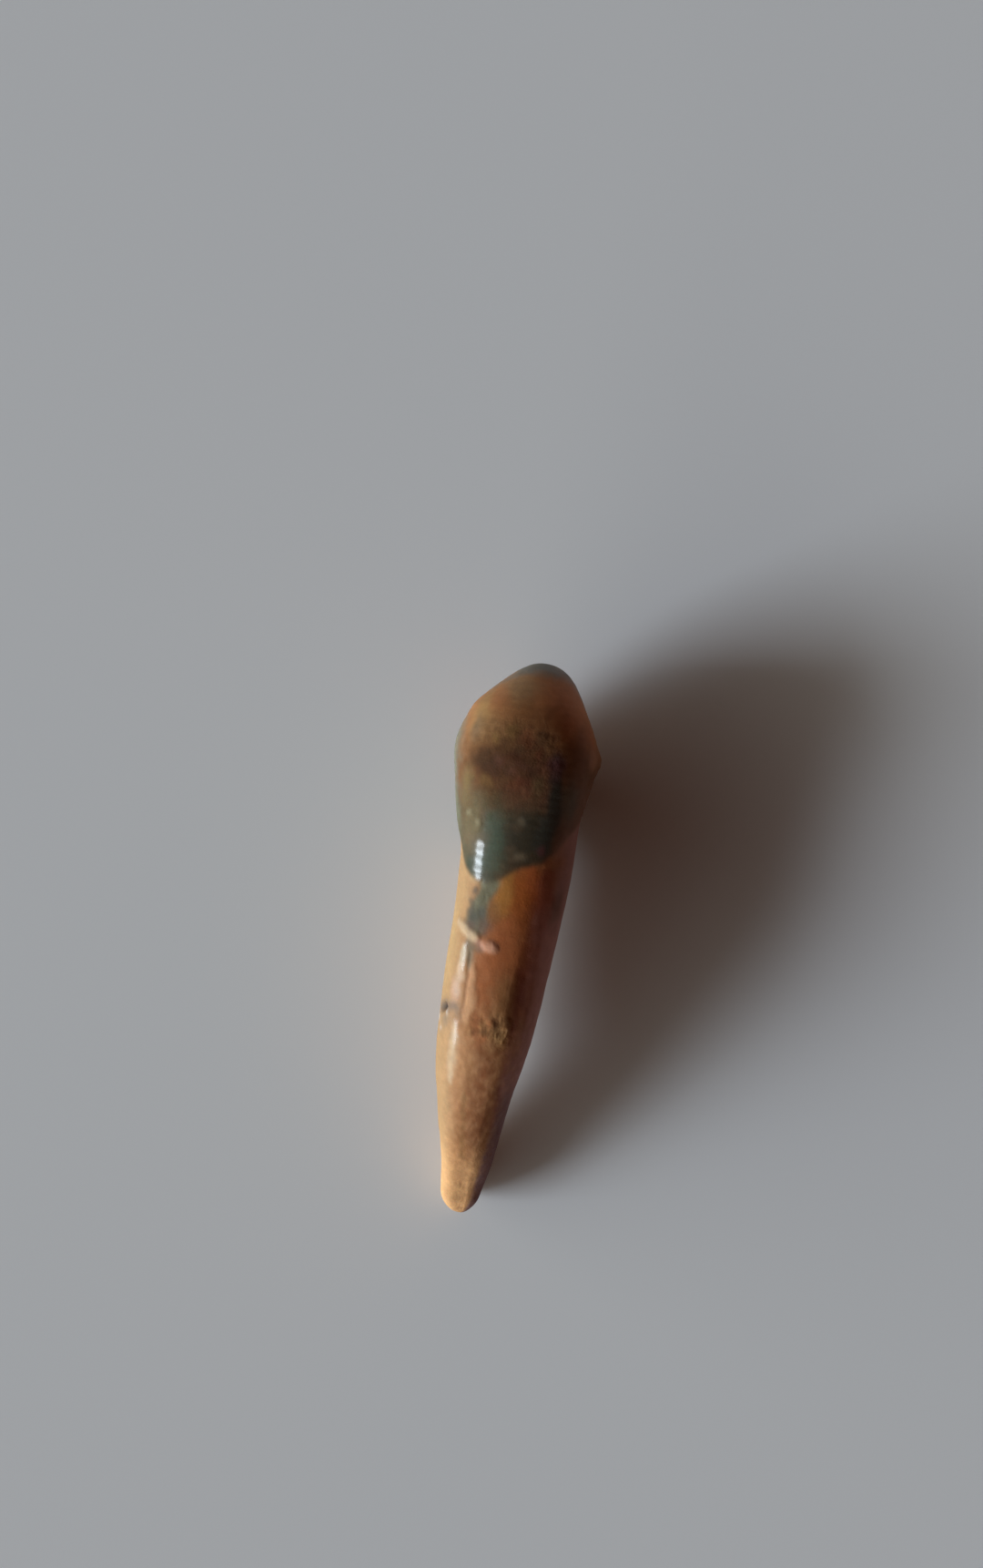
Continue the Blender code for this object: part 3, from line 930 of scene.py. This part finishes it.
@dataclass(frozen=True)
class Relief:
    """The small relief of growth, and what time and the ground left on the skin.

    Each kind of relief has its height, the size of its forms, and a seed for its noise. The line
    break is how far apart the growth lines come and go, the groove squeeze draws noise out along
    the tooth, and the tip grain comes in below a place over a length.
    """

    growth_line_gap: float = 0.52
    growth_line_height: float = 0.01
    growth_line_wander: float = 0.25
    growth_line_break: float = 1.3
    growth_line_seed: int = 51
    etched: Spot = Spot(-1.2, 11.6, 2.4, 2.0, soft=0.8, ragged=0.6)
    etch_depth: float = 0.04
    etch_grain: float = 0.03
    etch_grain_size: float = 0.45
    etch_seed: int = 52
    enamel_wave: float = 0.03
    root_wave: float = 0.05
    wave_size: float = 2.2
    wave_seed: int = 53
    groove_height: float = 0.018
    groove_width: float = 0.7
    groove_squeeze: tuple[float, float, float] = (1.0, 0.14, 1.0)
    groove_seed: int = 54
    root_grain: float = 0.012
    tip_grain: float = 0.012
    tip_grain_from: float = -3.5
    tip_grain_fade: float = 6.0
    grain_size: float = 0.5
    grain_seed: int = 55
    features: tuple[Feature, ...] = (
        # the pale leaf and the flake under the grey stain
        Feature(0.06, (Streak(((-2.95, 1.4, 0.22), (-2.3, 1.15, 0.28), (-1.5, 0.75, 0.22)), 1.0),)),
        Feature(0.11, (Spot(-0.82, 0.38, 0.46, 0.3, -14, 1.0, 0.12, 0.0),)),
        # two low ridges and the crack between them
        Feature(0.03, (Streak(((-2.35, 0.2, 0.22), (-2.3, -0.7, 0.28), (-2.3, -1.4, 0.22)), 1.8),)),
        Feature(0.04, (Streak(((-1.6, -1.0, 0.2), (-1.5, -2.2, 0.34), (-1.55, -3.8, 0.34)), 1.8),)),
        Feature(-0.035, (
            Streak((
                (-1.9, -0.3, 0.1), (-1.88, -1.6, 0.12), (-1.86, -2.6, 0.12), (-1.9, -4.1, 0.1),
            ), 1.4, 0.12),
        )),
        # the eaten hollow of the grey stain
        Feature(-0.05, (
            Streak(((-1.7, 3.7, 0.4), (-1.8, 2.4, 0.6), (-1.8, 1.4, 0.5)), 0.9, 0.4),
        ), 0.6, 0.5),
        # the pit at the left and two crumbs beside it
        Feature(-0.2, (Spot(-3.0, -4.0, 0.36, 0.25, 15, 1.0, 0.15),)),
        Feature(0.06, (Spot(-3.15, -4.65, 0.33, 0.25, soft=1.0), Spot(-2.7, -4.35, 0.22, 0.15, soft=1.0))),
        # the rough patch across the middle
        Feature(-0.055, (Spot(0.2, -4.5, 1.3, 0.85, soft=1.5, ragged=0.5),), 1.0, 0.34),
        Feature(0.035, (Spot(0.5, -5.0, 1.1, 0.6, soft=1.4, ragged=0.5),), 1.0, 0.26),
        Feature(-0.04, (Spot(-1.0, -5.0, 0.35, 0.45, soft=1.0),), 1.0, 0.4),
        # two pale crumbs on the enamel
        Feature(0.04, (Spot(-3.35, 8.2, 0.3, 0.36, soft=1.0), Spot(-2.7, 7.6, 0.3, 0.34, soft=1.0))),
    )

    def growth_lines(self, skin: Skin) -> np.ndarray:
        """Where the enamel's growth lines rise and fall, from -1 to 1: a wandering sine along Y."""
        place = skin.y + self.growth_line_wander * skin.wander[:, 0]
        return np.sin(2 * math.pi * place / self.growth_line_gap)

    def height(self, skin: Skin) -> np.ndarray:
        """Height of the skin over the plain form: growth lines and broad waves on the enamel, an
        etched hollow, waves, grooves and grain on the root, and the single features.

        Args:
            skin: the surface.

        Returns:
            Height at each point.
        """
        strength = 0.5 + 0.5 * noise(skin.points, self.growth_line_break, self.growth_line_seed)
        lines = self.growth_lines(skin) * strength
        etched = self.etched.cover(skin) * Tissue.ENAMEL.share(skin)
        etching = self.etch_grain * fractal(skin.points, self.etch_grain_size, self.etch_seed)
        wave = fractal(skin.points, self.wave_size, self.wave_seed)
        squeezed = skin.points * np.array(self.groove_squeeze)
        grooves = fractal(squeezed, self.groove_width, self.groove_seed)
        grain = fractal(skin.points, self.grain_size, self.grain_seed)
        low = smooth((self.tip_grain_from - skin.y) / self.tip_grain_fade)
        enamel = self.growth_line_height * lines + self.enamel_wave * wave
        root = self.root_wave * wave + self.groove_height * grooves
        root = root + (self.root_grain + self.tip_grain * low) * grain
        features = sum(feature.rise(skin) for feature in self.features)
        tissues = Tissue.ENAMEL.share(skin) * enamel + Tissue.ROOT.share(skin) * root
        return tissues + etched * (etching - self.etch_depth) + features


@dataclass(frozen=True)
class Polish:
    """Where the skin is smooth, from 0 for dull to 1 for satin, and where it has a wet-looking
    glaze over it, from 0 for none to 1.

    Attributes:
        enamel, root: smoothness of each tissue.
        dulling: share of it that dull shapes take away.
        calming: share of the fine grain that a satin skin lacks.
        dull, glossy, glazed: shapes that are worn dull, wet-looking, and thinly glazed.
        glossy_share, line_share: glaze on glossy shapes, and how much the growth lines change it.
        glazed_share: glaze on glazed shapes.
    """

    enamel: float = 0.75
    root: float = 0.6
    dulling: float = 0.85
    calming: float = 0.8
    dull: tuple[Shape, ...] = (
        Spot(-1.6, 11.2, 3.2, 2.9, soft=0.6, ragged=0.4),
        Spot(-3.2, 8.2, 1.0, 1.4),
        Spot(0.0, -4.7, 1.4, 0.9),
        Flank(90, 200, -30, -12, fade_along=6.0),
    )
    glossy: tuple[Shape, ...] = (
        Streak(((-2.4, 6.0, 0.5), (-2.35, 5.4, 0.6), (-2.25, 4.7, 0.6)), 1.0, 0.12),
    )
    glazed: tuple[Shape, ...] = (
        Streak(((1.5, 12.0, 0.5), (1.8, 9.0, 0.5), (1.2, 6.7, 0.5))),
        Spot(-1.0, 6.4, 0.9, 1.6),
        Streak(((-2.2, -4.8, 0.3), (-2.1, -8.0, 0.3))),
        Streak(((-2.3, 0.2, 0.25), (-2.3, -1.2, 0.25))),
    )
    glossy_share: float = 0.6
    line_share: float = 0.22
    glazed_share: float = 0.25

    def satin(self, skin: Skin) -> np.ndarray:
        """Smoothness of each point: its tissue's own, mostly taken away on dull shapes.

        Args:
            skin: the surface.

        Returns:
            Smoothness from 0 to 1.
        """
        own = sum(
            tissue.share(skin) * smoothness
            for tissue, smoothness in ((Tissue.ENAMEL, self.enamel), (Tissue.ROOT, self.root))
        )
        return own * (1 - self.dulling * covered(self.dull, skin))

    def grain(self, satin: np.ndarray) -> np.ndarray:
        """Strength of the fine grain at each point: full where dull, and less where satin."""
        return 1 - self.calming * satin

    def glaze(self, skin: Skin, lines: np.ndarray) -> np.ndarray:
        """Glaze of each point: thin on glazed shapes, and thick on the enamel's glossy ones, where
        the growth lines pinch it.

        Args:
            skin: the surface.
            lines: where the growth lines rise and fall.

        Returns:
            Glaze from 0 to 1.
        """
        shine = self.glossy_share + self.line_share * lines
        glossy = covered(self.glossy, skin) * shine * Tissue.ENAMEL.share(skin)
        return np.maximum(glossy, self.glazed_share * covered(self.glazed, skin))


def shown(name: str, data: bpy.types.ID) -> bpy.types.Object:
    """Make an object and put it into the scene.

    Args:
        name: the object's name.
        data: its mesh, light or camera.

    Returns:
        The object.
    """
    thing = bpy.data.objects.new(name, data)
    bpy.context.scene.collection.objects.link(thing)
    return thing


def painted(name: str, settings: dict[str, object]) -> bpy.types.Material:
    """Make a material with the usual shader.

    Args:
        name: the material's name.
        settings: values of the shader's inputs, by name.

    Returns:
        The material.
    """
    material = bpy.data.materials.new(name)
    material.use_nodes = True
    for socket, value in settings.items():
        material.node_tree.nodes["Principled BSDF"].inputs[socket].default_value = value
    return material


@dataclass
class Graph:
    """Adds nodes to a node tree and joins them."""

    tree: bpy.types.NodeTree

    def node(self, kind: str, **settings: object) -> bpy.types.Node:
        """Add a node.

        Args:
            kind: type of node.
            settings: properties of the node, or values of its inputs by name with _ for a space.

        Returns:
            The node.
        """
        node = self.tree.nodes.new(kind)
        for name, value in settings.items():
            if hasattr(node, name):
                setattr(node, name, value)
            else:
                node.inputs[name.replace("_", " ")].default_value = value
        return node

    def join(self, output: bpy.types.NodeSocket, target: bpy.types.NodeSocket) -> None:
        """Link an output to an input."""
        self.tree.links.new(output, target)

    def sum(self, kind: str, first: object, second: object, third: object = 0.0) -> bpy.types.NodeSocket:
        """Add a sum.

        Args:
            kind: which sum, such as MULTIPLY_ADD.
            first, second, third: outputs or plain numbers.

        Returns:
            The result.
        """
        node = self.node("ShaderNodeMath", operation=kind)
        for place, value in enumerate((first, second, third)):
            if isinstance(value, bpy.types.NodeSocket):
                self.join(value, node.inputs[place])
            else:
                node.inputs[place].default_value = value
        return node.outputs[0]

    def attribute(self, name: str) -> bpy.types.Node:
        """Add a reader of a mesh attribute."""
        return self.node("ShaderNodeAttribute", attribute_name=name)


@dataclass(frozen=True)
class FossilFinish:
    """Old enamel and root: waxy, stained through, glazed where handled.

    Attributes:
        roughest, smoothest: roughness where the skin is dull, and where it is satin.
        specular: strength of the plain gloss.
        glaze_roughness, glaze_index: roughness and refraction of the clear coat.
        scatter, scatter_radius, scatter_depth: how much light goes under the surface, how far each
            colour of it does, and the depth that this is measured in.
        mottle_size, mottle: size and strength of the broad mottling.
        fleck_size, fleck: size and strength of the fine flecks.
        rough_swing: how much the flecks change the roughness.
        bump_depth: height of the finest grain.
        texture_detail, texture_roughness: how many finer octaves the noise has, and how strong.
    """

    name: str = "fossil_tooth"
    roughest: float = 0.9
    smoothest: float = 0.42
    specular: float = 0.22
    glaze_roughness: float = 0.15
    glaze_index: float = 1.5
    scatter: float = 0.12
    scatter_radius: tuple[float, float, float] = (1.0, 0.45, 0.2)
    scatter_depth: float = 0.6
    mottle_size: float = 0.5
    mottle: float = 0.4
    fleck_size: float = 0.14
    fleck: float = 0.4
    rough_swing: float = 0.08
    bump_depth: float = 0.03
    texture_detail: float = 4.0
    texture_roughness: float = 0.6

    def build(self) -> bpy.types.Material:
        """Make the material: the laid colour of stains and painted light times two sizes of mottling,
        roughness from satin, a clear coat from glaze, and a fine grain in the light.

        Returns:
            The material.
        """
        material = painted(self.name, {
            "Specular IOR Level": self.specular,
            "Coat Roughness": self.glaze_roughness,
            "Coat IOR": self.glaze_index,
            "Subsurface Weight": self.scatter,
            "Subsurface Radius": self.scatter_radius,
            "Subsurface Scale": self.scatter_depth * MM,
        })
        graph = Graph(material.node_tree)
        shader = graph.tree.nodes["Principled BSDF"]
        place = graph.node("ShaderNodeTexCoord").outputs["Object"]
        coarse = self.texture(graph, place, self.mottle_size)
        fine = self.texture(graph, place, self.fleck_size)
        rough = graph.attribute("grain").outputs["Fac"]
        mottle = graph.sum("MULTIPLY_ADD", coarse, self.mottle, 1 - self.mottle / 2)
        swing = graph.sum("MULTIPLY", graph.sum("SUBTRACT", fine, 0.5), self.fleck)
        fleck = graph.sum("MULTIPLY_ADD", swing, rough, 1.0)
        scale = graph.node("ShaderNodeVectorMath", operation="SCALE")
        graph.join(graph.attribute("stain_and_painted_light").outputs["Color"], scale.inputs[0])
        graph.join(graph.sum("MULTIPLY", mottle, fleck), scale.inputs["Scale"])
        graph.join(scale.outputs[0], shader.inputs["Base Color"])
        satin = graph.attribute("satin").outputs["Fac"]
        broad = graph.sum("MULTIPLY_ADD", satin, self.smoothest - self.roughest, self.roughest)
        roughness = graph.sum("MULTIPLY_ADD", fine, self.rough_swing, broad)
        graph.join(roughness, shader.inputs["Roughness"])
        graph.join(graph.attribute("glaze").outputs["Fac"], shader.inputs["Coat Weight"])
        bump = graph.node("ShaderNodeBump", Distance=self.bump_depth * MM)
        graph.join(graph.sum("MULTIPLY", fine, rough), bump.inputs["Height"])
        graph.join(bump.outputs[0], shader.inputs["Normal"])
        return material

    def texture(self, graph: Graph, place: bpy.types.NodeSocket, size: float) -> bpy.types.NodeSocket:
        """Add noise.

        Args:
            graph: the material's graph.
            place: where it is read, in metres.
            size: size of its grain, in millimetres.

        Returns:
            Noise about 0.5.
        """
        grain = graph.node(
            "ShaderNodeTexNoise", Scale=1 / (size * MM), Detail=self.texture_detail,
            Roughness=self.texture_roughness,
        )
        graph.join(place, grain.inputs["Vector"])
        return grain.outputs["Fac"]


@dataclass
class Tooth:
    """The whole tooth as one dressed piece."""

    form: ToothForm = ToothForm()
    relief: Relief = Relief()
    stains_and_painted_light: StainsAndPaintedLight = StainsAndPaintedLight()
    polish: Polish = Polish()
    finish: FossilFinish = FossilFinish()
    name: str = "tooth_skin"

    def placed(self, points: np.ndarray) -> np.ndarray:
        """Points in metres, centred in the CAD box, no larger than it, and flat where they rest.

        Args:
            points: points in millimetres.

        Returns:
            Points in metres.
        """
        low, high = (np.array(corner) / MM for corner in CAD_BOX)
        middle = (points.max(axis=0) + points.min(axis=0)) / 2
        own = points.max(axis=0) - points.min(axis=0)
        shrink = np.minimum(1.0, (high - low)[:2] / own[:2])
        points = points.copy()
        points[:, :2] = (points[:, :2] - middle[:2]) * shrink + (high + low)[:2] / 2
        points[:, 2] = np.clip(points[:, 2], low[2], high[2])
        return points * MM

    def build(self) -> bpy.types.Object:
        """Returns:
            The tooth.
        """
        skin = Skin(self.form)
        mesh = bpy.data.meshes.new(self.name)
        mesh.from_pydata(self.placed(skin.moved(self.relief.height(skin))).tolist(), [], skin.faces())
        mesh.shade_smooth()
        # the laid colour holds the stains and the painted highlight, shade and fill light
        stain_and_painted_light = np.column_stack([self.stains_and_painted_light.colour(skin), np.ones(len(skin.points))])
        mesh.attributes.new("stain_and_painted_light", "FLOAT_COLOR", "POINT").data.foreach_set("color", stain_and_painted_light.ravel())
        satin = self.polish.satin(skin)
        glaze = self.polish.glaze(skin, self.relief.growth_lines(skin))
        for name, values in (("satin", satin), ("glaze", glaze), ("grain", self.polish.grain(satin))):
            mesh.attributes.new(name, "FLOAT", "POINT").data.foreach_set("value", values)
        mesh.materials.append(self.finish.build())
        tooth = shown(self.name, mesh)
        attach(tooth, BODY)
        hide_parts(NODE)
        log.info("%s: %d points", self.name, len(mesh.vertices))
        return tooth


@dataclass(frozen=True)
class Lamp:
    """A soft rectangle of light, aimed at the tooth.

    Attributes:
        name: its name.
        azimuth: degrees round from the right of the scene.
        elevation: degrees above the floor.
        size: its width and height in metres.
        power: its power in watts.
        colour: its colour.
        distance: how far it is from the tooth, in metres.
    """

    name: str
    azimuth: float
    elevation: float
    size: tuple[float, float]
    power: float
    colour: tuple[float, float, float]
    distance: float = 6.0

    def build(self) -> bpy.types.Object:
        """Make the light and set it in its place, facing the tooth.

        Returns:
            The lamp.
        """
        data = bpy.data.lights.new(self.name, "AREA")
        data.shape = "RECTANGLE"
        data.size, data.size_y = self.size
        data.energy = self.power
        data.color = self.colour
        lamp = shown(self.name, data)
        turn, rise = math.radians(self.azimuth), math.radians(self.elevation)
        level = math.cos(rise)
        direction = Vector((math.cos(turn) * level, math.sin(turn) * level, math.sin(rise)))
        lamp.location = direction * self.distance
        lamp.rotation_euler = direction.to_track_quat("Z", "Y").to_euler()
        return lamp


@dataclass(frozen=True)
class FloorFinish:
    """Plain pale floor, nearly matt."""

    name: str = "floor"
    colour: LightColour = (0.80, 0.81, 0.83, 1.0)
    roughness: float = 0.9
    specular: float = 0.2

    def build(self) -> bpy.types.Material:
        """Make the material.

        Returns:
            The material.
        """
        return painted(self.name, {
            "Base Color": self.colour,
            "Roughness": self.roughness,
            "Specular IOR Level": self.specular,
        })


@dataclass(frozen=True)
class Studio:
    """A pale floor, a soft light low on the left with a wide dim one round it, a weak warm light
    from the right, and a faint warm fill all round.

    Attributes:
        floor_size: side of the floor in metres.
        floor_drop: how far the floor lies under the tooth.
        fill_colour, fill_strength: light of the room.
        backdrop_colour: what is seen past the floor's edge.
    """

    floor_size: float = 4.0
    floor_drop: float = 0.02
    floor_finish: FloorFinish = FloorFinish()
    lamps: tuple[Lamp, ...] = (
        Lamp("key", 202.7, 17.7, (2.67, 1.89), 342.0, (0.80, 0.90, 1.0)),
        Lamp("wide", 207.6, 14.0, (17.4, 2.58), 490.0, (0.96, 0.99, 0.90)),
        Lamp("bounce", 20.0, 12.0, (6.0, 3.0), 18.0, (1.0, 0.5, 0.3)),
    )
    fill_colour: LightColour = (1.0, 0.36, 0.2, 1.0)
    fill_strength: float = 0.03
    backdrop_colour: LightColour = (0.4, 0.4, 0.41, 1.0)

    def floor(self) -> bpy.types.Object:
        """A square of plain floor, a hair under the tooth.

        Returns:
            The floor.
        """
        half = self.floor_size / 2
        corners = [(-half, -half, 0), (half, -half, 0), (half, half, 0), (-half, half, 0)]
        mesh = bpy.data.meshes.new("floor")
        mesh.from_pydata(corners, [], [(0, 1, 2, 3)])
        mesh.materials.append(self.floor_finish.build())
        floor = shown("floor", mesh)
        floor.location.z = -self.floor_drop * MM
        return floor

    def fill(self) -> None:
        """The faint warm light of the room, and a pale backdrop past the floor's edge."""
        world = bpy.data.worlds.new("room")
        world.use_nodes = True
        graph = Graph(world.node_tree)
        light = graph.tree.nodes["Background"]
        light.inputs["Color"].default_value = self.fill_colour
        light.inputs["Strength"].default_value = self.fill_strength
        backdrop = graph.node("ShaderNodeBackground", Color=self.backdrop_colour)
        path = graph.node("ShaderNodeLightPath")
        mix = graph.node("ShaderNodeMixShader")
        graph.join(path.outputs["Is Camera Ray"], mix.inputs["Fac"])
        graph.join(light.outputs[0], mix.inputs[1])
        graph.join(backdrop.outputs[0], mix.inputs[2])
        graph.join(mix.outputs[0], graph.tree.nodes["World Output"].inputs["Surface"])
        bpy.context.scene.world = world

    def build(self) -> None:
        """Set the floor, the lamps and the room."""
        self.floor()
        for lamp in self.lamps:
            lamp.build()
        self.fill()
        bpy.context.scene.view_settings.view_transform = "Standard"
        log.info("floor, %d lamps and the room", len(self.lamps))


@dataclass(frozen=True)
class Viewpoint:
    """The camera, straight over the tooth and turned a little, as the photo was taken.

    Attributes:
        place: where it is.
        up: direction along the floor that is up in the picture.
        lens, sensor: focal length, and width of the picture inside the camera.
        near, far: nearest and farthest thing that it shows, in metres.
    """

    place: tuple[float, float, float] = (-1.93, 9.97, 91.1)
    up: tuple[float, float] = (-0.156, 0.988)
    lens: float = 31.4
    sensor: float = 36.0
    near: float = 0.005
    far: float = 10.0

    def build(self) -> bpy.types.Object:
        """Make the camera and hand it to the scene.

        Returns:
            The camera.
        """
        data = bpy.data.cameras.new("camera")
        data.sensor_fit = "AUTO"
        data.sensor_width = self.sensor
        data.lens = self.lens
        data.clip_start = self.near
        data.clip_end = self.far
        camera = shown("camera", data)
        top = Vector((*self.up, 0)).normalized()
        right = Vector((top.y, -top.x, 0))
        turn = Matrix((right, top, right.cross(top))).transposed()
        camera.matrix_world = Matrix.Translation(Vector(self.place) * MM) @ turn.to_4x4()
        bpy.context.scene.camera = camera
        return camera


def main() -> None:
    """Build the tooth, the studio and the camera, and log how many points and lamps there are."""
    logging.basicConfig(level=logging.INFO, format="%(name)s: %(message)s")
    Tooth().build()
    Studio().build()
    Viewpoint().build()


if __name__ == "__main__":
    main()
